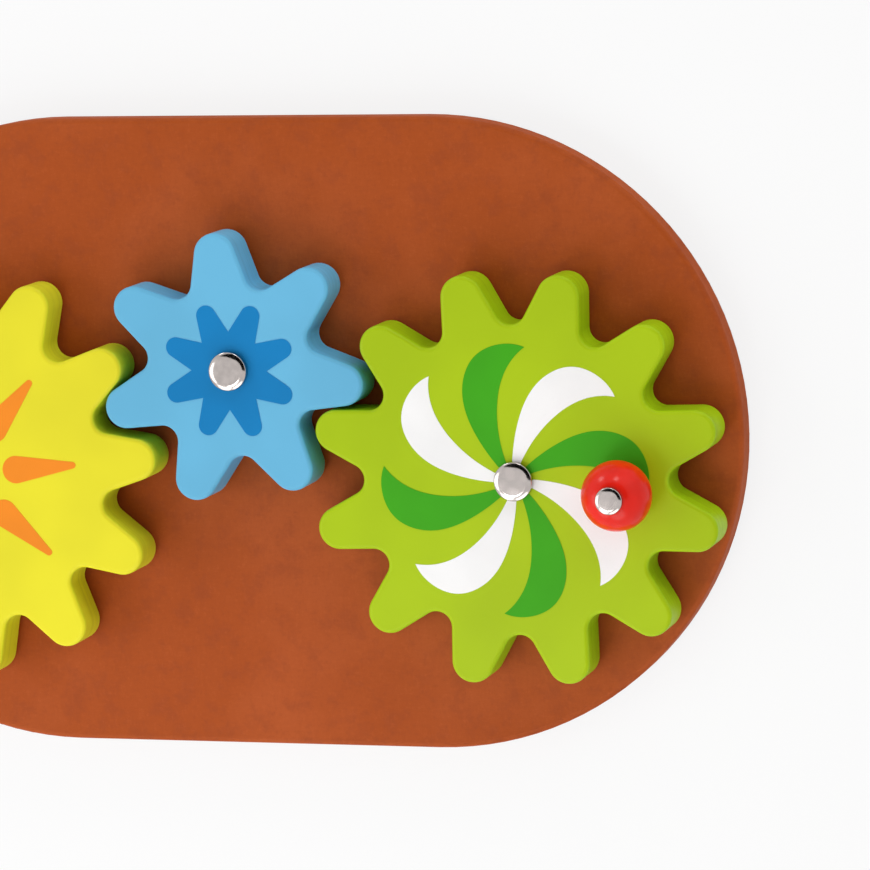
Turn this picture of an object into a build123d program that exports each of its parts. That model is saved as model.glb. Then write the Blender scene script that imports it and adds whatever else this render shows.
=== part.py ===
from build123d import *
from math import cos, pi, radians, sin
import os

# A crank toy: three painted wooden gears in mesh on a painted board. A small gear stands in the
# middle and drives a large one on each side. The right-hand gear carries a ball knob as its crank.
# The board lies on its back in the XY plane and its gears turn about +Z.
# The origin is the middle of the plane that the four feet stand on.

# ---------------------------------------------------------------- driving dimensions, millimetres

# Teeth, the same on every gear
tooth_pitch = 36.7              # from tooth to tooth along the pitch circle
flank_clearance = 1.5           # air on each side of a tooth, at the pitch circle
flank_angle = 14.0              # degrees between a flank and the middle line of its tooth
root_round = 5.6

# Gears
gear_thickness = 18.0
gear_edge_round = 1.5
large_teeth = 12
large_addendum = 5.0            # how far the tips stand outside the pitch circle
small_teeth = 7
small_addendum = 8.6

# Layout on the board
line_angle = 20.3               # degrees that the side gears' centres lie below the middle gear's
green_phase = 15.4              # degrees, a tooth of the green gear counted from +X
mesh_lead = 2.4                 # degrees that the middle gear lags in its backlash at rest
yellow_lead = 1.2               # the same, for the yellow gear

# Board
board_thickness = 12.0
board_front_round = 2.0
board_back_round = 1.0
margin_above = 39.5             # from the small gear's tips to the upper edge
margin_below = 26.0             # from the large gears' tips to the lower edge
margin_ends = 3.4               # from the large gears' tips to the round ends

# Axle bolts: a shoulder that the gear turns on, a thread below it and a plain cap above
shoulder_radius = 4.5
axle_thread_radius = 3.0
axle_thread_length = 10.0
cap_radius = 7.0
cap_height = 2.8
cap_bevel = 1.3
cap_gap = 0.4                   # between a gear's face and the cap
bush_wall = 1.5
spacer_radius = 11.0
spacer_thickness = 2.0
spacer_edge_round = 0.5
running_gap = 0.2               # between a turning piece and what it turns on, end to end
running_fit = 0.05              # the same, round a shaft
seat_fit = 0.05                 # round a piece that sits in its hole

# Flanged nuts, sunk into the back of what they hold
nut_wall = 0.8
axle_nut_length = 8.5
axle_nut_flange_radius = 9.0
axle_nut_flange = 1.2
knob_nut_length = 10.0
knob_nut_flange_radius = 6.5
knob_nut_flange = 1.0
flange_sink = 0.3               # how far a flange lies below the surface

# Crank knob and its pin
crank_radius = 39.8             # from the gear's axle to the knob's pin
crank_angle = -4.3              # degrees from +X at rest
ball_radius = 12.5
ball_foot = 11.0                # from the middle of the ball down to its flat
ball_crown = 11.4               # from the middle of the ball up to its flat
ball_edge_round = 0.6
pin_shoulder_radius = 3.0
pin_thread_radius = 2.2
pin_thread_length = 13.0
pin_cap_radius = 4.8
pin_cap_height = 1.8
pin_cap_bevel = 1.2
knob_washer_radius = 5.5
knob_washer_thickness = 1.0

# Printed patterns
ink_thickness = 0.15
ink_gap = 0.3                   # bare ring between a pattern and a bush or washer
blade_count = 8                 # alternately white and dark green
blade_reach = 48.8
blade_phase = 39.3              # degrees, the tip of a white blade counted from +X
blade_root_back = 56.0          # degrees from the tip round to the blade's rounded back, at the hub
blade_root_hollow = 30.0        # degrees from the tip round to its hollow side, at the hub
blade_tip_share = 0.98          # the tip's radius, as a share of the reach
blade_back = ((0.47, 44.7), (0.775, 34.3), (0.945, 22.8), (1.0, 9.5))    # share of reach, degrees
blade_hollow = ((0.76, 11.0), (0.525, 18.6), (0.26, 26.0))
petal_count = 8
petal_reach = 25.0
petal_round = 3.6
petal_heart = 7.8               # radius at the middle that the petals' sides are tangent to
petal_phase = 22.0
ray_count = 8
ray_reach = 45.0
ray_tip_round = 1.2
ray_root = 22.0                 # radius at which a ray is widest
ray_root_round = 5.0
sun_disc = 14.0

# Feet
foot_height = 4.0
foot_radius = 8.0
foot_taper = 1.0
foot_inset_x = 68.0             # from the board's ends
foot_inset_y = 40.0             # from the board's long edges
foot_screw_sink = 2.0
foot_screw_head = 3.0
foot_screw_head_height = 1.5

# Keyhole hangers, let into the back
hanger_length = 38.0
hanger_width = 24.0
hanger_thickness = 1.5
hanger_corner = 4.0
hanger_x = 72.0
hanger_inset = 30.0             # from the board's upper edge to the plates' middle line
keyhole_mouth = 4.5
keyhole_slot = 2.3              # half of the slot's width
keyhole_rise = 8.0
keyhole_pocket_depth = 5.0
keyhole_pocket_margin = 1.5
hanger_screw_spacing = 27.0
hanger_screw_head = 2.8
hanger_screw_head_height = 1.3

# Wood screws
screw_shank = 1.5
screw_length = 7.0
screw_slot_width = 0.8
screw_slot_depth = 0.6

# ---------------------------------------------------------------- sizes that follow from them

tip_round = tooth_pitch / 4 - flank_clearance
large_pitch_radius = large_teeth * tooth_pitch / (2 * pi)
small_pitch_radius = small_teeth * tooth_pitch / (2 * pi)
large_tip_radius = large_pitch_radius + large_addendum
small_tip_radius = small_pitch_radius + small_addendum
centre_distance = large_pitch_radius + small_pitch_radius

side_x = centre_distance * cos(radians(line_angle))
side_drop = centre_distance * sin(radians(line_angle))
board_height = margin_above + small_tip_radius + side_drop + large_tip_radius + margin_below
board_length = 2 * (side_x + large_tip_radius + margin_ends)
middle_y = board_height / 2 - margin_above - small_tip_radius
side_y = middle_y - side_drop

board_bottom = foot_height
board_top = board_bottom + board_thickness
gear_bottom = board_top + spacer_thickness + running_gap
gear_top = gear_bottom + gear_thickness
cap_bottom = gear_top + cap_gap
bush_radius = shoulder_radius + running_fit + bush_wall
knob_bottom = gear_top + knob_washer_thickness + running_gap
ball_middle = knob_bottom + ball_foot
pin_cap_bottom = ball_middle + ball_crown + running_gap

# A tooth on the line of centres faces a gap. Turning the green gear on by its offset from that
# line turns the middle gear back by the same arc, and the yellow gear back from the middle one.
towards_middle = 180 - line_angle
large_step = 360 / large_teeth
small_step = 360 / small_teeth
green_offset = (green_phase - towards_middle) % large_step
blue_offset = green_offset * large_teeth / small_teeth + mesh_lead
blue_phase = -line_angle + small_step / 2 - blue_offset
towards_yellow = 180 + line_angle
blue_gap_offset = (blue_phase + small_step / 2 - towards_yellow) % small_step
yellow_phase = line_angle - blue_gap_offset * small_teeth / large_teeth - yellow_lead

FROM_BELOW = (Align.CENTER, Align.CENTER, Align.MIN)
FROM_ABOVE = (Align.CENTER, Align.CENTER, Align.MAX)

os.makedirs("parts", exist_ok=True)


def polar(radius, degrees):
    """A point from its radius and its angle from +X."""
    return (radius * cos(radians(degrees)), radius * sin(radians(degrees)))


# ---------------------------------------------------------------- gears


def tooth_star(teeth, tip_radius):
    """Corners of the star that the straight flanks make, before its tips and roots are rounded."""
    half_step = pi / teeth
    flank = radians(flank_angle)
    apex = tip_radius + tip_round * (1 / sin(flank) - 1)
    valley = apex * sin(flank) / sin(half_step + flank)
    corners = []
    for tooth in range(teeth):
        middle = tooth * 360 / teeth
        corners.append(polar(apex, middle))
        corners.append(polar(valley, middle + 180 / teeth))
    return corners


def cut_nut_seat(thread_radius, length, flange_radius, flange):
    """Cuts the room for a nut and its sunk flange, upwards from the active locations."""
    Cylinder(
        thread_radius + nut_wall + 2 * seat_fit,
        length + flange_sink + seat_fit,
        align=FROM_BELOW,
        mode=Mode.SUBTRACT,
    )
    Cylinder(flange_radius + seat_fit, flange + flange_sink, align=FROM_BELOW, mode=Mode.SUBTRACT)


gears = {
    "green": (large_teeth, large_tip_radius, side_x, side_y, green_phase),
    "blue": (small_teeth, small_tip_radius, 0, middle_y, blue_phase),
    "yellow": (large_teeth, large_tip_radius, -side_x, side_y, yellow_phase),
}
crank_x = side_x + polar(crank_radius, crank_angle)[0]
crank_y = side_y + polar(crank_radius, crank_angle)[1]

for colour, (teeth, tip_radius, x, y, phase) in gears.items():
    with BuildPart() as gear:
        with BuildSketch(Plane(origin=(x, y, gear_bottom), x_dir=(*polar(1, phase), 0))) as outline:
            with BuildLine():
                Polyline(*tooth_star(teeth, tip_radius), close=True)
            make_face()
            fillet(outline.vertices().sort_by_distance((0, 0, 0))[teeth:], tip_round)
            fillet(outline.vertices().sort_by_distance((0, 0, 0))[:teeth], root_round)
        extrude(amount=gear_thickness)
        fillet(gear.edges().group_by(Axis.Z)[-1] + gear.edges().group_by(Axis.Z)[0], gear_edge_round)
        with Locations((x, y, gear_top)):
            Hole(bush_radius + seat_fit)
        if colour == "green":
            with Locations((crank_x, crank_y, gear_top)):
                Hole(pin_thread_radius + seat_fit)
            with Locations((crank_x, crank_y, gear_bottom)):
                cut_nut_seat(
                    pin_thread_radius, knob_nut_length, knob_nut_flange_radius, knob_nut_flange
                )
    gear.part.label = f"{colour}_gear"
    export_step(gear.part, f"parts/{colour}_gear.step")

    with BuildPart() as bush:
        with Locations((x, y, gear_bottom)):
            Cylinder(bush_radius, gear_thickness, align=FROM_BELOW)
        with Locations((x, y, gear_top)):
            Hole(shoulder_radius + running_fit)
    bush.part.label = f"{colour}_bush"
    export_step(bush.part, f"parts/{colour}_bush.step")

    with BuildPart() as spacer:
        with Locations((x, y, board_top)):
            Cylinder(spacer_radius, spacer_thickness, align=FROM_BELOW)
        with Locations((x, y, board_top + spacer_thickness)):
            Hole(shoulder_radius + running_fit)
        fillet(spacer.edges().group_by(Axis.Z)[-1].sort_by(SortBy.LENGTH)[-1], spacer_edge_round)
    spacer.part.label = f"{colour}_spacer"
    export_step(spacer.part, f"parts/{colour}_spacer.step")

    with BuildPart() as axle:
        with Locations((x, y, board_top)):
            Cylinder(axle_thread_radius, axle_thread_length, align=FROM_ABOVE)
            Cylinder(shoulder_radius, cap_bottom - board_top, align=FROM_BELOW)
        with Locations((x, y, cap_bottom)):
            Cylinder(cap_radius, cap_height, align=FROM_BELOW)
        chamfer(axle.edges().sort_by(Axis.Z)[-1], cap_bevel)
    axle.part.label = f"{colour}_axle"
    export_step(axle.part, f"parts/{colour}_axle.step")

    with BuildPart() as axle_nut:
        with Locations((x, y, board_bottom + flange_sink)):
            Cylinder(axle_nut_flange_radius, axle_nut_flange, align=FROM_BELOW)
            Cylinder(axle_thread_radius + seat_fit + nut_wall, axle_nut_length, align=FROM_BELOW)
        with Locations((x, y, board_bottom + axle_nut_length)):
            Hole(axle_thread_radius + seat_fit)
    axle_nut.part.label = f"{colour}_axle_nut"
    export_step(axle_nut.part, f"parts/{colour}_axle_nut.step")

# ---------------------------------------------------------------- printed patterns


def pattern_plane(colour, phase):
    """The plane of a gear's painted face, with its X axis turned to a pattern's first copy."""
    x, y = gears[colour][2:4]
    return Plane(origin=(x, y, gear_top), x_dir=(*polar(1, phase), 0))


def make_blade():
    """One pinwheel blade, its tip on +X, with a rounded back and a hollow side."""
    root_radius = bush_radius + ink_gap
    tip = polar(blade_reach * blade_tip_share, 0)
    back_root = polar(root_radius, blade_root_back)
    hollow_root = polar(root_radius, blade_root_hollow)
    back = [polar(share * blade_reach, degrees) for share, degrees in blade_back]
    hollow = [polar(share * blade_reach, degrees) for share, degrees in blade_hollow]
    root_middle = polar(root_radius, (blade_root_back + blade_root_hollow) / 2)
    with BuildSketch() as blade:
        with BuildLine():
            Spline(back_root, *back, tip)
            Spline(tip, *hollow, hollow_root)
            ThreePointArc(hollow_root, root_middle, back_root)
        make_face()
    return blade.sketch


blade_step = 360 / blade_count
for colour, first in (("white", 0), ("dark", 1)):
    with BuildPart() as blades:
        with BuildSketch(pattern_plane("green", blade_phase + first * blade_step)):
            with PolarLocations(0, blade_count // 2):
                add(make_blade())
        extrude(amount=ink_thickness)
        with Locations((crank_x, crank_y, gear_top)):
            Cylinder(knob_washer_radius + ink_gap, 2 * ink_thickness, mode=Mode.SUBTRACT)
    blades.part.label = f"green_gear_{colour}_blades"
    export_step(blades.part, f"parts/green_gear_{colour}_blades.step")

with BuildPart() as flower:
    with BuildSketch(pattern_plane("blue", petal_phase)):
        with BuildSketch(mode=Mode.PRIVATE) as petal:
            Circle(petal_heart)
            with Locations((petal_reach - petal_round, 0)):
                Circle(petal_round)
            make_hull()
        with PolarLocations(0, petal_count):
            add(petal.sketch)
        Circle(bush_radius + ink_gap, mode=Mode.SUBTRACT)
    extrude(amount=ink_thickness)
flower.part.label = "blue_gear_flower"
export_step(flower.part, "parts/blue_gear_flower.step")

with BuildPart() as sun:
    with BuildSketch(pattern_plane("yellow", yellow_phase)):
        with BuildSketch(mode=Mode.PRIVATE) as ray:
            with Locations((ray_root, 0)):
                Circle(ray_root_round)
            with Locations((ray_reach - ray_tip_round, 0)):
                Circle(ray_tip_round)
            make_hull()
        with PolarLocations(0, ray_count):
            add(ray.sketch)
        Circle(sun_disc)
        Circle(bush_radius + ink_gap, mode=Mode.SUBTRACT)
    extrude(amount=ink_thickness)
sun.part.label = "yellow_gear_sun"
export_step(sun.part, "parts/yellow_gear_sun.step")

# ---------------------------------------------------------------- crank knob

with BuildPart() as knob_pin:
    with Locations((crank_x, crank_y, gear_top)):
        Cylinder(pin_thread_radius, pin_thread_length, align=FROM_ABOVE)
        Cylinder(pin_shoulder_radius, pin_cap_bottom - gear_top, align=FROM_BELOW)
    with Locations((crank_x, crank_y, pin_cap_bottom)):
        Cylinder(pin_cap_radius, pin_cap_height, align=FROM_BELOW)
    chamfer(knob_pin.edges().sort_by(Axis.Z)[-1], pin_cap_bevel)
knob_pin.part.label = "knob_pin"
export_step(knob_pin.part, "parts/knob_pin.step")

with BuildPart() as knob_washer:
    with Locations((crank_x, crank_y, gear_top)):
        Cylinder(knob_washer_radius, knob_washer_thickness, align=FROM_BELOW)
    with Locations((crank_x, crank_y, gear_top + knob_washer_thickness)):
        Hole(pin_shoulder_radius + running_fit)
knob_washer.part.label = "knob_washer"
export_step(knob_washer.part, "parts/knob_washer.step")

with BuildPart() as knob_nut:
    with Locations((crank_x, crank_y, gear_bottom + flange_sink)):
        Cylinder(knob_nut_flange_radius, knob_nut_flange, align=FROM_BELOW)
        Cylinder(pin_thread_radius + seat_fit + nut_wall, knob_nut_length, align=FROM_BELOW)
    with Locations((crank_x, crank_y, gear_bottom + knob_nut_length)):
        Hole(pin_thread_radius + seat_fit)
knob_nut.part.label = "knob_nut"
export_step(knob_nut.part, "parts/knob_nut.step")

with BuildPart() as crank_knob:
    with Locations((crank_x, crank_y, ball_middle)):
        Sphere(ball_radius)
    split(bisect_by=Plane.XY.offset(knob_bottom), keep=Keep.TOP)
    split(bisect_by=Plane.XY.offset(ball_middle + ball_crown), keep=Keep.BOTTOM)
    fillet(crank_knob.edges().filter_by(GeomType.CIRCLE), ball_edge_round)
    with Locations((crank_x, crank_y, ball_middle + ball_crown)):
        Hole(pin_shoulder_radius + running_fit)
crank_knob.part.label = "crank_knob"
export_step(crank_knob.part, "parts/crank_knob.step")

# ---------------------------------------------------------------- feet, hangers and their screws

foot_x = board_length / 2 - foot_inset_x
foot_y = board_height / 2 - foot_inset_y
foot_places = [(side * foot_x, end * foot_y) for side in (-1, 1) for end in (-1, 1)]
hanger_y = board_height / 2 - hanger_inset
mouth_y = hanger_y - (keyhole_rise + keyhole_slot - keyhole_mouth) / 2
hanger_places = [(-hanger_x, hanger_y), (hanger_x, hanger_y)]
hanger_screw_places = [
    (x + side * hanger_screw_spacing / 2, y) for x, y in hanger_places for side in (-1, 1)
]
foot_head_bottom = foot_screw_sink
foot_head_top = foot_head_bottom + foot_screw_head_height


def cut_cross_slot():
    """Cuts the slots for a driver into a screw's head, upwards from the active locations."""
    for turn in (0, 90):
        Box(
            2 * screw_shank,
            screw_slot_width,
            screw_slot_depth,
            rotation=(0, 0, turn),
            align=FROM_BELOW,
            mode=Mode.SUBTRACT,
        )


with BuildPart() as feet:
    for x, y in foot_places:
        with Locations((x, y, 0)):
            Cone(foot_radius - foot_taper, foot_radius, foot_height, align=FROM_BELOW)
            Cylinder(foot_screw_head + seat_fit, foot_head_top, align=FROM_BELOW, mode=Mode.SUBTRACT)
            Cylinder(screw_shank + seat_fit, foot_height, align=FROM_BELOW, mode=Mode.SUBTRACT)
feet.part.label = "rubber_feet"
export_step(feet.part, "parts/rubber_feet.step")

with BuildPart() as foot_screws:
    for x, y in foot_places:
        with Locations((x, y, foot_head_bottom)):
            Cylinder(foot_screw_head, foot_screw_head_height, align=FROM_BELOW)
            Cylinder(screw_shank, foot_screw_head_height + screw_length, align=FROM_BELOW)
            cut_cross_slot()
foot_screws.part.label = "foot_screws"
export_step(foot_screws.part, "parts/foot_screws.step")

with BuildPart() as hangers:
    for x, y in hanger_places:
        with BuildSketch(Plane.XY.offset(board_bottom)):
            with Locations((x, y)):
                RectangleRounded(hanger_length, hanger_width, hanger_corner)
            with Locations((x, mouth_y)):
                Circle(keyhole_mouth, mode=Mode.SUBTRACT)
            with Locations((x, mouth_y + keyhole_rise / 2)):
                SlotCenterToCenter(keyhole_rise, 2 * keyhole_slot, rotation=90, mode=Mode.SUBTRACT)
    extrude(amount=hanger_thickness)
    for x, y in hanger_screw_places:
        with Locations((x, y, board_bottom)):
            Cone(
                hanger_screw_head + seat_fit,
                screw_shank + seat_fit,
                hanger_screw_head_height,
                align=FROM_BELOW,
                mode=Mode.SUBTRACT,
            )
            Cylinder(screw_shank + seat_fit, hanger_thickness, align=FROM_BELOW, mode=Mode.SUBTRACT)
hangers.part.label = "keyhole_hangers"
export_step(hangers.part, "parts/keyhole_hangers.step")

with BuildPart() as hanger_screws:
    for x, y in hanger_screw_places:
        with Locations((x, y, board_bottom)):
            Cone(hanger_screw_head, screw_shank, hanger_screw_head_height, align=FROM_BELOW)
            Cylinder(screw_shank, hanger_screw_head_height + screw_length, align=FROM_BELOW)
            cut_cross_slot()
hanger_screws.part.label = "hanger_screws"
export_step(hanger_screws.part, "parts/hanger_screws.step")

# ---------------------------------------------------------------- board

with BuildPart() as board:
    with BuildSketch(Plane.XY.offset(board_bottom)):
        SlotOverall(board_length, board_height)
    extrude(amount=board_thickness)
    fillet(board.edges().group_by(Axis.Z)[-1], board_front_round)
    fillet(board.edges().group_by(Axis.Z)[0], board_back_round)
    for teeth, tip_radius, x, y, phase in gears.values():
        with Locations((x, y, board_top)):
            Hole(axle_thread_radius + seat_fit)
        with Locations((x, y, board_bottom)):
            cut_nut_seat(axle_thread_radius, axle_nut_length, axle_nut_flange_radius, axle_nut_flange)
    with Locations(*[(x, y, board_bottom) for x, y in foot_places]):
        Cylinder(
            screw_shank + seat_fit,
            foot_head_top + screw_length - foot_height,
            align=FROM_BELOW,
            mode=Mode.SUBTRACT,
        )
    with Locations(*[(x, y, board_bottom) for x, y in hanger_screw_places]):
        Cylinder(
            screw_shank + seat_fit,
            hanger_screw_head_height + screw_length + seat_fit,
            align=FROM_BELOW,
            mode=Mode.SUBTRACT,
        )
    for x, y in hanger_places:
        with BuildSketch(Plane.XY.offset(board_bottom)):
            with Locations((x, y)):
                RectangleRounded(
                    hanger_length + 2 * seat_fit, hanger_width + 2 * seat_fit, hanger_corner + seat_fit
                )
        extrude(amount=hanger_thickness, mode=Mode.SUBTRACT)
        with BuildSketch(Plane.XY.offset(board_bottom)):
            with Locations((x, mouth_y + keyhole_rise / 2)):
                SlotCenterToCenter(
                    keyhole_rise, 2 * (keyhole_mouth + keyhole_pocket_margin), rotation=90
                )
        extrude(amount=hanger_thickness + keyhole_pocket_depth, mode=Mode.SUBTRACT)
board.part.label = "base_board"
export_step(board.part, "parts/base_board.step")
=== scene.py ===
"""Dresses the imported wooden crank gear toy.

It adds paint, prints, turned metal parts, the knob, the feet and a studio.
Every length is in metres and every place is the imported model's own.
"""

import math
from collections import namedtuple

import bmesh
import bpy
from bpy.props import FloatProperty, FloatVectorProperty, PointerProperty
from mathutils import Matrix, Vector


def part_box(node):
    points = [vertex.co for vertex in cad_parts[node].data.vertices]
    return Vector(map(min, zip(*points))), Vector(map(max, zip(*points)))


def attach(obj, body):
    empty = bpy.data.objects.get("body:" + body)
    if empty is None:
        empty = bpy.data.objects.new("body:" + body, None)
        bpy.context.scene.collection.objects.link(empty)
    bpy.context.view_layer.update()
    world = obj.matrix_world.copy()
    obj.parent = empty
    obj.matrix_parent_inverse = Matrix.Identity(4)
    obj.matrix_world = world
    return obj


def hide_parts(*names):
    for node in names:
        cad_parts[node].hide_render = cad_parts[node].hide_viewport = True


bl_info = {
    "name": "Wooden Crank Gear Toy",
    "version": (1, 0, 0),
    "blender": (4, 5, 0),
    "location": "View3D > Sidebar > Gear Toy",
    "description": "Paint, prints, turned metal parts and a studio for a wooden crank gear toy",
    "category": "Object",
}

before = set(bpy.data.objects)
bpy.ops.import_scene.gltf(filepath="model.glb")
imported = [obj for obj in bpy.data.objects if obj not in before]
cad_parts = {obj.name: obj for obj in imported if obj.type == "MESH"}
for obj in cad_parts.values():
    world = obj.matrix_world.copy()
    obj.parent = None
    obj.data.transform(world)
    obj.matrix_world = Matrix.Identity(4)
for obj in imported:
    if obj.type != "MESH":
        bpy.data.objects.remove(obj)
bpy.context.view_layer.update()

MM = 0.001
UP = Vector((0, 0, 1))
GEAR_COLOURS = ("green", "blue", "yellow")

TURN_STEPS = 72  # faces round a turned piece
SAME_POINT = 1e-7  # metres within which two points are one
SHARP_EDGE = math.radians(35)  # edges that fold more than this stay sharp

FLOOR_GLOW = 0.82  # how much of the floor's white is its own, as the camera sees it

# The dark cloth is part of a ball about the camera's target.
CLOTH_RADIUS = 1.5
CLOTH_FOOT = math.radians(38)  # height of its lower hem above the floor
CLOTH_RISE = math.radians(38)  # from that hem up to the other one
CLOTH_START = math.radians(-5)  # direction of its first side, from +X
CLOTH_WIDTH = math.radians(145)  # from that side round to the other one

# Directions are in degrees, from +X and above the floor. Distance and width are in metres.
Lamp = namedtuple("Lamp", "name azimuth elevation away width in_gloss")
LAMPS = (
    Lamp("top_lamp", azimuth=80, elevation=24, away=1.3, width=0.34, in_gloss=True),
    Lamp("corner_lamp", azimuth=127, elevation=14, away=1.3, width=0.34, in_gloss=True),
    Lamp("left_panel", azimuth=190, elevation=36, away=1.3, width=0.9, in_gloss=True),
    Lamp("near_panel", azimuth=238, elevation=34, away=1.3, width=0.8, in_gloss=True),
    Lamp("low_panel", azimuth=285, elevation=32, away=1.3, width=0.9, in_gloss=True),
    Lamp("high_panel", azimuth=244, elevation=63, away=0.875, width=0.3, in_gloss=True),
    Lamp("side_panel", azimuth=50, elevation=8, away=1.3, width=0.9, in_gloss=False),
)


def srgb(red, green, blue):
    """Linear colour of a colour written as it looks on screen, 0 to 255."""
    shares = [value / 255 for value in (red, green, blue)]
    return tuple(
        share / 12.92 if share <= 0.04045 else ((share + 0.055) / 1.055) ** 2.4 for share in shares
    )


def centre_line(node):
    """Middle of a node's box in X and Y, and its lowest and highest Z."""
    low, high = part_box(node)
    return Vector(((low.x + high.x) / 2, (low.y + high.y) / 2, 0)), low.z, high.z


def length(name, description, millimetres):
    """A length property whose default is given in millimetres."""
    return FloatProperty(
        name=name,
        description=description,
        default=millimetres * MM,
        min=0,
        unit="LENGTH",
        precision=5,
    )


def colour(name, description, red, green, blue):
    """A colour property whose default is given as it looks on screen."""
    return FloatVectorProperty(
        name=name,
        description=description,
        default=srgb(red, green, blue),
        min=0,
        max=1,
        size=3,
        subtype="COLOR",
    )


def share(name, description, default):
    """A property from 0 to 1."""
    return FloatProperty(
        name=name, description=description, default=default, min=0, max=1, subtype="FACTOR"
    )


def angle(name, description, degrees):
    """An angle property whose default is given in degrees."""
    return FloatProperty(
        name=name,
        description=description,
        default=math.radians(degrees),
        subtype="ANGLE",
        unit="ROTATION",
    )


def power(name, description, watts):
    """A lamp's power."""
    return FloatProperty(name=name, description=description, default=watts, min=0, unit="POWER")


# ---------------------------------------------------------------- properties


class ToyColours(bpy.types.PropertyGroup):
    green: colour("Green gear", "Paint of the crank gear", 170, 197, 18)
    blue: colour("Blue gear", "Paint of the middle gear", 106, 183, 220)
    yellow: colour("Yellow gear", "Paint of the left-hand gear", 232, 222, 45)
    board: colour("Board", "Paint of the base board", 167, 73, 16)
    white_print: colour("White print", "White pinwheel blades", 248, 247, 246)
    dark_print: colour("Dark green print", "Dark green pinwheel blades", 62, 163, 20)
    blue_print: colour("Blue print", "Flower on the middle gear", 14, 125, 188)
    orange_print: colour("Orange print", "Sun on the left-hand gear", 240, 138, 34)
    knob: colour("Knob", "Lacquer of the ball knob", 236, 29, 9)
    steel: colour("Bright metal", "Plated axle bolts and knob pin", 184, 176, 172)
    zinc: colour("Zinc plate", "Nuts, screws and hangers", 176, 180, 186)
    rubber: colour("Rubber", "Feet", 52, 52, 54)
    nylon: colour("Nylon", "Bushes, spacers and washer", 226, 223, 214)


class ToySizes(bpy.types.PropertyGroup):
    cap_height: length("Cap height", "Height of a bolt's cap", 2.8)
    cap_crown: length("Cap crown", "Width of the sloping edge round a bolt's cap", 1.5)
    cap_drop: length("Cap drop", "How far that edge slopes down", 0.75)
    pin_cap_height: length("Pin cap height", "Height of the knob pin's cap", 1.8)
    pin_crown: length("Pin crown", "Width of the sloping edge round the pin's cap", 1.1)
    pin_drop: length("Pin drop", "How far that edge slopes down", 0.55)
    pin_shoulder: length("Pin shoulder", "Radius of the pin inside the ball", 3.0)
    bush_wall: length("Bush wall", "Wall of a bush, with its running fit", 1.55)
    bolt_thread: length("Bolt thread", "Radius of an axle bolt's threaded end", 3.0)
    pin_thread: length("Pin thread", "Radius of the knob pin's threaded end", 2.2)
    thread_depth: length("Thread depth", "Depth of the thread's grooves", 0.35)
    thread_pitch: length("Thread pitch", "From one groove to the next", 1.0)
    knob_edge: length("Knob edge", "Rounding at the ball's two flats", 0.6)
    knob_seat: length("Knob seat", "From the ball's lower flat to its middle", 11.0)
    knob_hole: length("Knob hole", "Radius of the ball's hole", 3.05)
    foot_flange: length("Foot flange", "Radius of a foot where it meets the board", 8.0)
    foot_tread: length("Foot tread", "Radius of a foot where it stands", 7.0)
    foot_groove: length("Foot groove", "Depth of the moulded groove round a foot", 0.45)
    foot_sink: length("Foot sink", "Radius of the sunk hole for the screw's head", 3.1)
    foot_sink_height: length("Foot sink height", "Height of that hole", 3.5)
    foot_bore: length("Foot bore", "Radius of the hole for the screw's shank", 1.6)


class ToyCamera(bpy.types.PropertyGroup):
    target: FloatVectorProperty(
        name="Target",
        description="Point in the middle of the picture",
        default=(0.07554, 0.00289, 0.0362),
        size=3,
        subtype="XYZ",
        unit="LENGTH",
        precision=5,
    )
    tilt: angle("Tilt", "How far the view leans from straight above the board", 17.0)
    towards: angle("Towards", "Direction of that lean, counted from +X", 27.8)
    roll: angle("Roll", "Turn of the picture about its middle", -1.54)
    distance: length("Distance", "From the camera to its target", 1800)
    focal: FloatProperty(
        name="Focal length",
        description="Lens on a 36 mm sensor, in millimetres",
        default=210.4,
        min=1,
        subtype="DISTANCE_CAMERA",
    )


class ToyStudio(bpy.types.PropertyGroup):
    floor_size: length("Floor size", "Side of the square floor", 9000)
    dome: share("Dome light", "Strength of the even light from all sides", 0.42)
    top_lamp: power("Top lamp", "Small lamp beyond the top edge", 1.7)
    corner_lamp: power("Corner lamp", "Small lamp beyond the upper left corner", 2.0)
    left_panel: power("Left panel", "Broad soft panel on the left", 4.2)
    near_panel: power("Near panel", "Broad soft panel beyond the lower left corner", 3.4)
    high_panel: power("High panel", "Small soft panel high over the lower left corner", 1.0)
    low_panel: power("Low panel", "Broad soft panel beyond the lower edge", 4.0)
    side_panel: power("Side panel", "Broad low panel beyond the upper right corner", 6.2)


class GearToySettings(bpy.types.PropertyGroup):
    colours: PointerProperty(type=ToyColours, name="Colours", description="Colours of the finishes")
    sizes: PointerProperty(type=ToySizes, name="Sizes", description="Sizes of the finer pieces")
    camera: PointerProperty(type=ToyCamera, name="Camera", description="Where the picture is from")
    studio: PointerProperty(type=ToyStudio, name="Studio", description="Floor and light")


# ---------------------------------------------------------------- shader maths


class Wire:
    """An output socket of a finish, on which arithmetic adds Math nodes."""

    def __init__(self, finish, socket):
        self.finish = finish
        self.socket = socket

    def __add__(self, other):
        return self.finish.math("ADD", self, other)

    def __radd__(self, other):
        return self.finish.math("ADD", other, self)

    def __rsub__(self, other):
        return self.finish.math("SUBTRACT", other, self)

    def __mul__(self, other):
        return self.finish.math("MULTIPLY", self, other)

    def __rmul__(self, other):
        return self.finish.math("MULTIPLY", other, self)

    def __abs__(self):
        return self.finish.math("ABSOLUTE", self)


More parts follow.
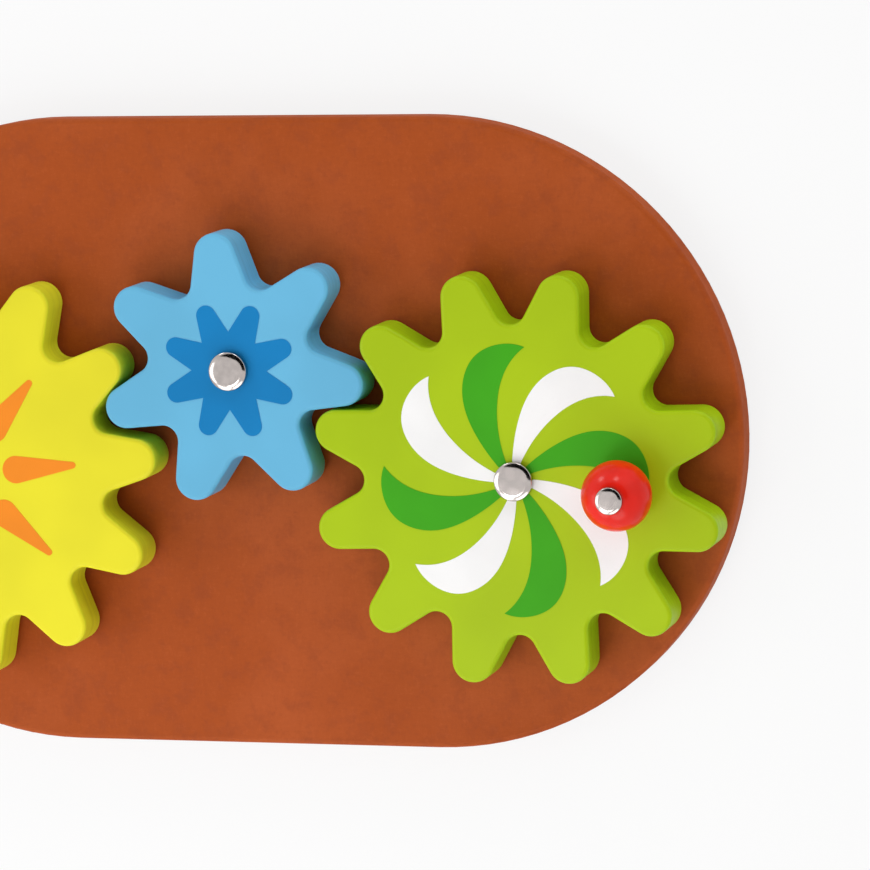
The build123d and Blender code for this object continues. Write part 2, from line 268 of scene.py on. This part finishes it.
class Finish:
    """A material or a world being made, with one method for every kind of node."""

    def __init__(self, block):
        self.block = block
        block.use_nodes = True
        self.tree = block.node_tree
        self.tree.nodes.clear()

    def node(self, kind, output, settings=None, sockets=None):
        """Adds a node, sets it, fills or links its sockets, and returns one of its outputs."""
        made = self.tree.nodes.new("ShaderNode" + kind)
        for name, value in (settings or {}).items():
            setattr(made, name, value)
        for name, value in (sockets or {}).items():
            socket = next(s for s in made.inputs if name in (s.identifier, s.name))
            if isinstance(value, Wire):
                self.tree.links.new(value.socket, socket)
            elif isinstance(value, tuple) and len(value) == 3 and socket.type == "RGBA":
                socket.default_value = (*value, 1)
            else:
                socket.default_value = value
        if output is None:
            return None
        return Wire(self, next(s for s in made.outputs if output in (s.identifier, s.name)))

    def math(self, operation, *values):
        """Adds a Math node on one or two values."""
        sockets = dict(zip(("Value", "Value_001"), values))
        return self.node("Math", "Value", {"operation": operation}, sockets)

    def noise(self, grain, detail, roughness=0.5, stretch=(1, 1, 1)):
        """Noise of about the given grain in metres, 0 to 1 about a middle of 0.5."""
        metres = self.node("TexCoord", "Object")
        stretched = self.node("Mapping", "Vector", None, {"Vector": metres, "Scale": stretch})
        return self.node(
            "TexNoise",
            "Fac",
            {"noise_dimensions": "3D"},
            {"Vector": stretched, "Scale": 1 / grain, "Detail": detail, "Roughness": roughness},
        )

    def steps(self, value, low, high):
        """0 below low and 1 above high, eased between them."""
        return self.node(
            "MapRange",
            "Result",
            {"interpolation_type": "SMOOTHSTEP"},
            {"Value": value, "From Min": low, "From Max": high},
        )

    def blend(self, first, second, amount):
        """Mixes two colours."""
        return self.node(
            "Mix",
            "Result_Color",
            {"data_type": "RGBA"},
            {"A_Color": first, "B_Color": second, "Factor_Float": amount},
        )

    def bump(self, height, depth):
        """Normal of a relief whose height of 1 is the given depth in metres."""
        sockets = {"Height": height, "Distance": depth, "Strength": 1.0}
        return self.node("Bump", "Normal", None, sockets)

    def surface(self, **sockets):
        """Principled surface, to the output."""
        named = {name.replace("_", " "): value for name, value in sockets.items()}
        shader = self.node("BsdfPrincipled", "BSDF", None, named)
        self.node("OutputMaterial", None, None, {"Surface": shader})
        return self.block


def new_finish(name):
    return Finish(bpy.data.materials.new(name))


def scaled(tint, factor):
    """The same colour, darker or brighter."""
    return tuple(min(1.0, value * factor) for value in tint)


# ---------------------------------------------------------------- finishes


def gear_paint(name, tint):
    """Satin paint on a sawn wooden gear: uneven, with a fine peel, layers in the walls, and a
    painted light hue on the walls.
    """
    paint = new_finish(name)
    upright = paint.node("SeparateXYZ", "Z", None, {"Vector": paint.node("TexCoord", "Normal")})
    wall = 1 - paint.steps(abs(upright), 0.25, 0.8)
    # Painted light: the walls are this paint in shade, tinted less red and more green and blue for
    # the light that falls on them.
    wall_light_hue = (tint[0] * 0.93, min(1.0, tint[1] * 1.06), min(1.0, tint[2] * 1.1))
    cloud = paint.noise(0.045, detail=2)
    peel = paint.noise(0.0012, detail=2)
    layers = paint.noise(0.002, detail=2, stretch=(0.04, 0.04, 1))
    even = paint.blend(scaled(tint, 0.94), scaled(tint, 1.04), paint.steps(cloud, 0.3, 0.7))
    # The walls take the painted light hue, and their layer bands are a darker copy of it.
    cut = paint.blend(even, wall_light_hue, wall)
    banded = paint.blend(cut, scaled(wall_light_hue, 0.80), wall * paint.steps(layers, 0.45, 0.7) * 0.5)
    rubbed = paint.noise(0.006, detail=4, roughness=0.65)
    relief = peel * 0.35 + wall * layers * 0.9
    return paint.surface(
        Base_Color=banded,
        Roughness=0.3 + 0.12 * rubbed,
        Specular_IOR_Level=0.14,
        Normal=paint.bump(relief, 0.00007),
    )


def print_ink(name, tint, fade):
    """Screen-printed ink: a slightly uneven coat with a fine grain."""
    ink = new_finish(name)
    cloud = ink.noise(0.03, detail=2)
    grain = ink.noise(0.0006, detail=2)
    tone = ink.blend(scaled(tint, 0.95), scaled(tint, fade), ink.steps(cloud, 0.3, 0.7))
    speckled = ink.blend(tone, scaled(tint, 0.93), ink.steps(grain, 0.6, 0.8) * 0.5)
    return ink.surface(
        Base_Color=speckled,
        Roughness=0.36 + 0.12 * grain,
        Specular_IOR_Level=0.14,
        Normal=ink.bump(grain, 0.00002),
    )


def board_paint(tint):
    """Brown paint on hardboard: warm and dark mottling over a fine fibrous ground."""
    paint = new_finish("board_brown")
    broad = paint.noise(0.06, detail=3)
    mottle = paint.noise(0.009, detail=4, roughness=0.65)
    across = paint.noise(0.0011, detail=4, roughness=0.75, stretch=(0.4, 1, 1))
    along = paint.noise(0.0011, detail=4, roughness=0.75, stretch=(1, 0.4, 1))
    weave = (across + along) * 0.5
    warm = paint.blend(tint, srgb(180, 84, 34), paint.steps(broad, 0.42, 0.66) * 0.6)
    dark = paint.blend(warm, srgb(150, 66, 28), paint.steps(mottle, 0.46, 0.68) * 0.45)
    fine = paint.blend(dark, srgb(192, 94, 40), paint.steps(weave, 0.5, 0.68) * 0.3)
    worn = paint.blend(fine, srgb(140, 58, 22), paint.steps(1 - weave, 0.5, 0.68) * 0.3)
    return paint.surface(
        Base_Color=worn,
        Roughness=0.5 + 0.2 * mottle,
        Specular_IOR_Level=0.2,
        Normal=paint.bump(weave, 0.00012),
    )


def knob_lacquer(tint):
    """Glossy red lacquer over a turned ball."""
    lacquer = new_finish("knob_red")
    cloud = lacquer.noise(0.008, detail=2)
    peel = lacquer.noise(0.0015, detail=1)
    tone = lacquer.blend(scaled(tint, 0.9), tint, lacquer.steps(cloud, 0.3, 0.7))
    return lacquer.surface(
        Base_Color=tone,
        Roughness=0.3 + 0.08 * cloud,
        Specular_IOR_Level=0.1,
        Coat_Weight=0.36,
        Coat_Roughness=0.16,
        Normal=lacquer.bump(peel, 0.00001),
    )


def bright_metal(tint):
    """Plated steel, polished, with faint marks from the lathe and from handling."""
    metal = new_finish("bright_plate")
    scuffs = metal.noise(0.0009, detail=3, roughness=0.6)
    cloud = metal.noise(0.004, detail=2)
    tone = metal.blend(scaled(tint, 0.92), scaled(tint, 1.08), metal.steps(cloud, 0.3, 0.7))
    return metal.surface(
        Base_Color=tone,
        Metallic=1.0,
        Roughness=0.1 + 0.08 * scuffs,
        Normal=metal.bump(scuffs, 0.000002),
    )


def zinc_plate(tint):
    """Zinc-plated steel: dull, with cloudy spangles and a passivated tint."""
    zinc = new_finish("zinc_plate")
    spangle = zinc.noise(0.0022, detail=3, roughness=0.6)
    fine = zinc.noise(0.0005, detail=2)
    tone = zinc.blend(scaled(tint, 0.82), scaled(tint, 1.2), zinc.steps(spangle, 0.35, 0.65))
    return zinc.surface(
        Base_Color=tone,
        Metallic=1.0,
        Roughness=0.3 + 0.22 * spangle,
        Normal=zinc.bump(fine, 0.000006),
    )


def foot_rubber(tint):
    """Moulded rubber with a fine matt texture and a little dust."""
    rubber = new_finish("foot_rubber")
    grain = rubber.noise(0.0007, detail=2)
    dust = rubber.noise(0.003, detail=4, roughness=0.7)
    tone = rubber.blend(tint, scaled(tint, 1.2), rubber.steps(dust, 0.5, 0.75))
    return rubber.surface(
        Base_Color=tone,
        Roughness=0.62 + 0.2 * dust,
        Specular_IOR_Level=0.35,
        Normal=rubber.bump(grain, 0.00003),
    )


def white_nylon(tint):
    """Natural nylon: milky, with faint turning marks and flow clouds."""
    nylon = new_finish("white_nylon")
    cloud = nylon.noise(0.004, detail=2)
    turning = nylon.noise(0.0004, detail=1, stretch=(0.05, 0.05, 1))
    tone = nylon.blend(scaled(tint, 0.93), tint, nylon.steps(cloud, 0.3, 0.7))
    return nylon.surface(
        Base_Color=tone,
        Roughness=0.38 + 0.14 * cloud,
        Subsurface_Weight=0.15,
        Subsurface_Scale=0.002,
        Normal=nylon.bump(turning, 0.00001),
    )


def dress(node, finish):
    """Gives a CAD node its finish."""
    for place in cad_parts[node].material_slots:
        place.material = finish


# ---------------------------------------------------------------- mesh helpers


def add_object(name, data):
    """A new object in the scene."""
    made = bpy.data.objects.new(name, data)
    bpy.context.scene.collection.objects.link(made)
    return made


def add_shape(name, shape, finish):
    """A new object in the scene, from a shape that is used up."""
    mesh = bpy.data.meshes.new(name)
    shape.to_mesh(mesh)
    shape.free()
    mesh.materials.append(finish)
    return add_object(name, mesh)


def lathe(profile):
    """A solid turned about Z from (radius, height) points.

    The points start and end on the axis, or end where they started.
    """
    shape = bmesh.new()
    points = [shape.verts.new((radius, 0, height)) for radius, height in profile]
    line = [shape.edges.new(ends) for ends in zip(points, points[1:])]
    bmesh.ops.spin(
        shape,
        geom=points + line,
        cent=(0, 0, 0),
        axis=UP,
        angle=2 * math.pi,
        steps=TURN_STEPS,
        use_merge=True,
    )
    bmesh.ops.remove_doubles(shape, verts=shape.verts, dist=SAME_POINT)
    bmesh.ops.recalc_face_normals(shape, faces=shape.faces)
    return shape


def ring(shape, radius, height):
    """Edges of the circle of the given radius and height about Z."""

    def on_ring(vert):
        near = 5e-6
        return abs(vert.co.xy.length - radius) < near and abs(vert.co.z - height) < near

    return [edge for edge in shape.edges if all(on_ring(vert) for vert in edge.verts)]


def round_ring(shape, radius, height, size, segments):
    """Rounds the edge along a circle about Z."""
    bmesh.ops.bevel(
        shape,
        geom=ring(shape, radius, height),
        offset=size,
        offset_type="OFFSET",
        affect="EDGES",
        segments=segments,
        profile=0.5,
        material=-1,
        clamp_overlap=True,
    )


def thread_profile(radius, low, high, pitch, depth):
    """Points of a grooved shank, from high to low."""
    points = []
    grooves = int((high - low) / pitch)
    for groove in range(grooves):
        top = high - groove * pitch
        points += [(radius, top), (radius - depth, top - pitch / 2)]
    return points + [(radius, high - grooves * pitch)]


def add_piece(name, shape, finish, body, replaced):
    """A finished piece that rides on its body in place of the replaced nodes."""
    piece = add_shape(name, shape, finish)
    piece.data.shade_smooth()
    piece.data.set_sharp_from_angle(angle=SHARP_EDGE)
    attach(piece, body)
    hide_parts(*replaced)


def repeat(make_one, places):
    """One shape that holds a copy of make_one's shape at each place."""
    whole = bmesh.new()
    for place in places:
        one = make_one()
        bmesh.ops.translate(one, verts=one.verts, vec=place)
        part = bpy.data.meshes.new("part")
        one.to_mesh(part)
        one.free()
        whole.from_mesh(part)
        bpy.data.meshes.remove(part)
    return whole


def settings():
    return bpy.context.scene.gear_toy


# ---------------------------------------------------------------- operators


class GEARTOY_OT_studio(bpy.types.Operator):
    """Sets up the floor, the light and the camera"""

    bl_idname = "gear_toy.studio"
    bl_label = "Set Up Studio"

    def execute(self, context):
        self.lay_floor()
        self.light_dome()
        self.hang_lamps()
        self.hang_dark_cloth()
        self.place_camera()
        return {"FINISHED"}

    def lay_floor(self):
        """A plain white floor that keeps the toy's shadow."""
        half = settings().studio.floor_size / 2
        shape = bmesh.new()
        bmesh.ops.create_grid(shape, x_segments=1, y_segments=1, size=half)
        paper = new_finish("studio_paper")
        seen = paper.node("LightPath", "Is Camera Ray")
        matt = paper.node("BsdfDiffuse", "BSDF", None, {"Color": srgb(236, 236, 236)})
        glow = paper.node("Emission", "Emission", None, {"Color": (1.0, 1.0, 1.0), "Strength": 1.0})
        mixed = {"Fac": seen * FLOOR_GLOW, "Shader": matt, "Shader_001": glow}
        sheet = paper.node("MixShader", "Shader", None, mixed)
        paper.node("OutputMaterial", None, None, {"Surface": sheet})
        floor = add_shape("studio_floor", shape, paper.block)

    def light_dome(self):
        """Even light from all sides, seen as white by the camera and in metal."""
        world = bpy.data.worlds.new("studio_dome")
        bpy.context.scene.world = world
        dome = Finish(world)
        camera_ray = dome.node("LightPath", "Is Camera Ray")
        glossy_ray = dome.node("LightPath", "Is Glossy Ray")
        clear_ray = dome.node("LightPath", "Is Transmission Ray")
        seen = dome.math("MINIMUM", camera_ray + glossy_ray + clear_ray, 1.0)
        low = settings().studio.dome
        lit = {"Color": (1.0, 1.0, 1.0), "Strength": low + (1 - low) * seen}
        light = dome.node("Background", "Background", None, lit)
        dome.node("OutputWorld", None, None, {"Surface": light})

    def hang_lamps(self):
        """Two small lamps and five soft panels, each a disc that looks at the toy."""
        target = Vector(settings().camera.target)
        for lamp in LAMPS:
            light = bpy.data.lights.new(lamp.name, "AREA")
            light.shape = "DISK"
            light.energy = getattr(settings().studio, lamp.name)
            light.size = lamp.width
            turn, rise = math.radians(lamp.azimuth), math.radians(lamp.elevation)
            towards = Vector(
                (
                    math.cos(turn) * math.cos(rise),
                    math.sin(turn) * math.cos(rise),
                    math.sin(rise),
                )
            )
            hung = add_object(lamp.name, light)
            hung.location = target + lamp.away * towards
            hung.rotation_euler = towards.to_track_quat("Z", "Y").to_euler()
            hung.visible_camera = False
            hung.visible_glossy = lamp.in_gloss

    def hang_dark_cloth(self):
        """A dark curved cloth high over the upper right, which only shiny surfaces show."""
        shape = bmesh.new()
        hem = Matrix.Rotation(-CLOTH_FOOT, 3, "Y") @ Vector((CLOTH_RADIUS, 0, 0))
        bmesh.ops.spin(
            shape,
            geom=[shape.verts.new(hem)],
            cent=(0, 0, 0),
            axis=(0, 1, 0),
            angle=-CLOTH_RISE,
            steps=8,
        )
        start = Matrix.Rotation(CLOTH_START, 3, "Z")
        bmesh.ops.rotate(shape, verts=shape.verts, matrix=start)
        bmesh.ops.spin(
            shape,
            geom=shape.verts[:] + shape.edges[:],
            cent=(0, 0, 0),
            axis=UP,
            angle=CLOTH_WIDTH,
            steps=24,
        )
        bmesh.ops.translate(shape, verts=shape.verts, vec=settings().camera.target)
        black = new_finish("black_cloth").surface(
            Base_Color=srgb(12, 12, 12), Roughness=1.0, Specular_IOR_Level=0.0
        )
        cloth = add_shape("dark_cloth", shape, black)
        cloth.visible_camera = False
        cloth.visible_diffuse = False
        cloth.visible_shadow = False
        cloth.visible_transmission = False

    def place_camera(self):
        """A long lens that leans over the board from the upper right."""
        view = settings().camera
        target = Vector(view.target)
        back = Vector(
            (
                math.sin(view.tilt) * math.cos(view.towards),
                math.sin(view.tilt) * math.sin(view.towards),
                math.cos(view.tilt),
            )
        )
        above = Vector((0, 1, 0))
        above = (above - above.dot(back) * back).normalized()
        right = above.cross(back)
        level = Matrix((right, above, back)).transposed()
        turned = level @ Matrix.Rotation(view.roll, 3, "Z")
        data = bpy.data.cameras.new("photo_camera")
        data.sensor_width = 36
        data.lens = view.focal
        data.clip_end = 20
        camera = add_object("photo_camera", data)
        camera.location = target + view.distance * back
        camera.rotation_euler = turned.to_euler()
        bpy.context.scene.camera = camera


class GEARTOY_OT_paint_gears(bpy.types.Operator):
    """Paints the three wooden gears"""

    bl_idname = "gear_toy.paint_gears"
    bl_label = "Paint Gears"

    def execute(self, context):
        for name in GEAR_COLOURS:
            tint = getattr(settings().colours, name)[:]
            dress(f"{name}_gear", gear_paint(f"paint_{name}", tint))
        return {"FINISHED"}


class GEARTOY_OT_paint_board(bpy.types.Operator):
    """Paints the base board"""

    bl_idname = "gear_toy.paint_board"
    bl_label = "Paint Board"

    def execute(self, context):
        dress("base_board", board_paint(settings().colours.board[:]))
        return {"FINISHED"}


class GEARTOY_OT_print_faces(bpy.types.Operator):
    """Prints the pinwheel, the flower and the sun"""

    bl_idname = "gear_toy.print_faces"
    bl_label = "Print Faces"

    def execute(self, context):
        tints = settings().colours
        dress("green_gear_white_blades", print_ink("ink_white", tints.white_print[:], 1.02))
        dress("green_gear_dark_blades", print_ink("ink_dark_green", tints.dark_print[:], 1.06))
        dress("yellow_gear_sun", print_ink("ink_orange", tints.orange_print[:], 1.05))
        dress("blue_gear_flower", print_ink("ink_blue", tints.blue_print[:], 1.05))
        return {"FINISHED"}


class GEARTOY_OT_turn_axle_bolts(bpy.types.Operator):
    """Turns the three axle bolts with their sloping caps and threaded ends"""

    bl_idname = "gear_toy.turn_axle_bolts"
    bl_label = "Turn Axle Bolts"

    def execute(self, context):
        plate = bright_metal(settings().colours.steel[:])
        for name in GEAR_COLOURS:
            self.turn_bolt(name, plate)
        return {"FINISHED"}

    def turn_bolt(self, name, plate):
        sizes = settings().sizes
        axis, low, high = centre_line(f"{name}_axle")
        corner, far_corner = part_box(f"{name}_axle")
        cap_radius = (far_corner.x - corner.x) / 2
        bore = shoulder_radius(name)
        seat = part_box("base_board")[1].z
        cap_low = high - sizes.cap_height
        shank = thread_profile(sizes.bolt_thread, low, seat, sizes.thread_pitch, sizes.thread_depth)
        shape = lathe(
            cap_profile(cap_radius, high, cap_low, sizes.cap_crown, sizes.cap_drop)
            + [(bore, cap_low), (bore, seat)]
            + shank
            + [(0, shank[-1][1])]
        )
        round_cap(shape, cap_radius, high, sizes.cap_crown, sizes.cap_drop)
        bmesh.ops.translate(shape, verts=shape.verts, vec=axis)
        add_piece(f"{name}_axle_bolt", shape, plate, "board", [f"{name}_axle"])


def shoulder_radius(name):
    """Radius of an axle bolt's shoulder, a running fit inside its bush."""
    low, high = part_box(f"{name}_bush")
    return (high.x - low.x) / 2 - settings().sizes.bush_wall


def cap_profile(radius, high, low, crown, drop):
    """Points of a cap with a flat middle and a sloping edge."""
    return [(0, high), (radius - crown, high), (radius, high - drop), (radius, low)]


def round_cap(shape, radius, high, crown, drop):
    """Rounds the two circles where a cap's sloping edge starts and ends."""
    round_ring(shape, radius - crown, high, size=crown * 0.5, segments=8)
    round_ring(shape, radius, high - drop, size=drop * 0.45, segments=5)


class GEARTOY_OT_turn_knob(bpy.types.Operator):
    """Turns the ball knob and its pin"""

    bl_idname = "gear_toy.turn_knob"
    bl_label = "Turn Knob"

    def execute(self, context):
        self.turn_ball()
        self.turn_pin()
        dress("knob_washer", white_nylon(settings().colours.nylon[:]))
        return {"FINISHED"}

    def turn_ball(self):
        sizes = settings().sizes
        axis, low, high = centre_line("crank_knob")
        corner, far_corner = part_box("crank_knob")
        radius = (far_corner.x - corner.x) / 2
        middle = low + sizes.knob_seat
        shape = bmesh.new()
        bmesh.ops.create_uvsphere(shape, u_segments=96, v_segments=64, radius=radius)
        bmesh.ops.translate(shape, verts=shape.verts, vec=(0, 0, middle))
        for height, outward in ((low, -1), (high, 1)):
            cut = bmesh.ops.bisect_plane(
                shape,
                geom=shape.verts[:] + shape.edges[:] + shape.faces[:],
                dist=SAME_POINT,
                plane_co=(0, 0, height),
                plane_no=(0, 0, outward),
                clear_outer=True,
            )
            rim = [item for item in cut["geom_cut"] if isinstance(item, bmesh.types.BMEdge)]
            flat = bmesh.ops.contextual_create(shape, geom=rim)["faces"]
            flat_radius = math.sqrt(radius**2 - (height - middle) ** 2)
            wide = flat_radius - sizes.knob_hole
            bmesh.ops.inset_region(shape, faces=flat, thickness=wide, use_even_offset=True)
            bmesh.ops.delete(shape, geom=flat, context="FACES_ONLY")
            round_ring(shape, flat_radius, height, sizes.knob_edge, segments=5)
        bmesh.ops.bridge_loops(shape, edges=[edge for edge in shape.edges if edge.is_boundary])
        bmesh.ops.recalc_face_normals(shape, faces=shape.faces)
        bmesh.ops.translate(shape, verts=shape.verts, vec=axis)
        lacquer = knob_lacquer(settings().colours.knob[:])
        add_piece("ball_knob", shape, lacquer, "knob", ["crank_knob"])

    def turn_pin(self):
        sizes = settings().sizes
        axis, low, high = centre_line("knob_pin")
        corner, far_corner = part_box("knob_pin")
        cap_radius = (far_corner.x - corner.x) / 2
        cap_low = high - sizes.pin_cap_height
        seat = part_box("green_gear")[1].z
        shank = thread_profile(sizes.pin_thread, low, seat, sizes.thread_pitch, sizes.thread_depth)
        shape = lathe(
            cap_profile(cap_radius, high, cap_low, sizes.pin_crown, sizes.pin_drop)
            + [(sizes.pin_shoulder, cap_low), (sizes.pin_shoulder, seat)]
            + shank
            + [(0, shank[-1][1])]
        )
        round_cap(shape, cap_radius, high, sizes.pin_crown, sizes.pin_drop)
        bmesh.ops.translate(shape, verts=shape.verts, vec=axis)
        plate = bpy.data.materials["bright_plate"]
        add_piece("knob_axle", shape, plate, "green_wheel", ["knob_pin"])


class GEARTOY_OT_finish_fittings(bpy.types.Operator):
    """Finishes the bushes, spacers, nuts, screws, hangers and feet"""

    bl_idname = "gear_toy.finish_fittings"
    bl_label = "Finish Fittings"

    def execute(self, context):
        tints = settings().colours
        nylon = bpy.data.materials["white_nylon"]
        for name in GEAR_COLOURS:
            dress(f"{name}_bush", nylon)
            dress(f"{name}_spacer", nylon)
        zinc = zinc_plate(tints.zinc[:])
        nuts = [f"{name}_axle_nut" for name in GEAR_COLOURS]
        for node in (*nuts, "knob_nut", "foot_screws", "hanger_screws", "keyhole_hangers"):
            dress(node, zinc)
        self.mould_feet(foot_rubber(tints.rubber[:]))
        return {"FINISHED"}

    def mould_feet(self, rubber):
        """Four feet with a rounded tread, a groove round the side and a sunk hole for the screw."""
        low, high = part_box("rubber_feet")
        flange = settings().sizes.foot_flange
        places = [
            Vector((x, y, low.z))
            for x in (low.x + flange, high.x - flange)
            for y in (low.y + flange, high.y - flange)
        ]
        shape = repeat(self.mould_foot, places)
        add_piece("moulded_feet", shape, rubber, "board", ["rubber_feet"])

    def mould_foot(self):
        sizes = settings().sizes
        low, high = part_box("rubber_feet")
        height = high.z - low.z
        middle = (sizes.foot_flange + sizes.foot_tread) / 2
        shape = lathe(
            [
                (sizes.foot_bore, height),
                (sizes.foot_flange, height),
                (middle + sizes.foot_groove / 2, height / 2 + sizes.foot_groove),
                (middle - sizes.foot_groove, height / 2),
                (middle - sizes.foot_groove / 2, height / 2 - sizes.foot_groove),
                (sizes.foot_tread, 0),
                (sizes.foot_sink, 0),
                (sizes.foot_sink, sizes.foot_sink_height),
                (sizes.foot_bore, sizes.foot_sink_height),
                (sizes.foot_bore, height),
            ]
        )
        round_ring(shape, sizes.foot_tread, 0, sizes.foot_groove, segments=5)
        round_ring(shape, sizes.foot_sink, 0, sizes.foot_groove / 2, segments=3)
        return shape


class GEARTOY_PT_panel(bpy.types.Panel):
    """Lists the steps that dress the toy"""

    bl_idname = "GEARTOY_PT_panel"
    bl_label = "Gear Toy"
    bl_space_type = "VIEW_3D"
    bl_region_type = "UI"
    bl_category = "Gear Toy"

    def draw(self, context):
        for operator in OPERATORS:
            self.layout.operator(operator.bl_idname)
        for group in ("colours", "sizes", "camera", "studio"):
            values = getattr(context.scene.gear_toy, group)
            box = self.layout.box()
            for name in values.bl_rna.properties.keys():
                if name not in ("rna_type", "name"):
                    box.prop(values, name)


GROUPS = (ToyColours, ToySizes, ToyCamera, ToyStudio, GearToySettings)
OPERATORS = (
    GEARTOY_OT_studio,
    GEARTOY_OT_paint_board,
    GEARTOY_OT_paint_gears,
    GEARTOY_OT_print_faces,
    GEARTOY_OT_turn_axle_bolts,
    GEARTOY_OT_turn_knob,
    GEARTOY_OT_finish_fittings,
)


def register():
    for item in (*GROUPS, *OPERATORS, GEARTOY_PT_panel):
        bpy.utils.register_class(item)
    bpy.types.Scene.gear_toy = PointerProperty(
        type=GearToySettings, name="Gear toy", description="Settings of the gear toy"
    )


def unregister():
    del bpy.types.Scene.gear_toy
    for item in reversed((*GROUPS, *OPERATORS, GEARTOY_PT_panel)):
        bpy.utils.unregister_class(item)


def main():
    """Dresses the toy."""
    register()
    bpy.context.scene.view_settings.view_transform = "Standard"
    bpy.ops.gear_toy.studio()
    bpy.ops.gear_toy.paint_board()
    bpy.ops.gear_toy.paint_gears()
    bpy.ops.gear_toy.print_faces()
    bpy.ops.gear_toy.turn_axle_bolts()
    bpy.ops.gear_toy.turn_knob()
    bpy.ops.gear_toy.finish_fittings()


if __name__ == "__main__":
    main()
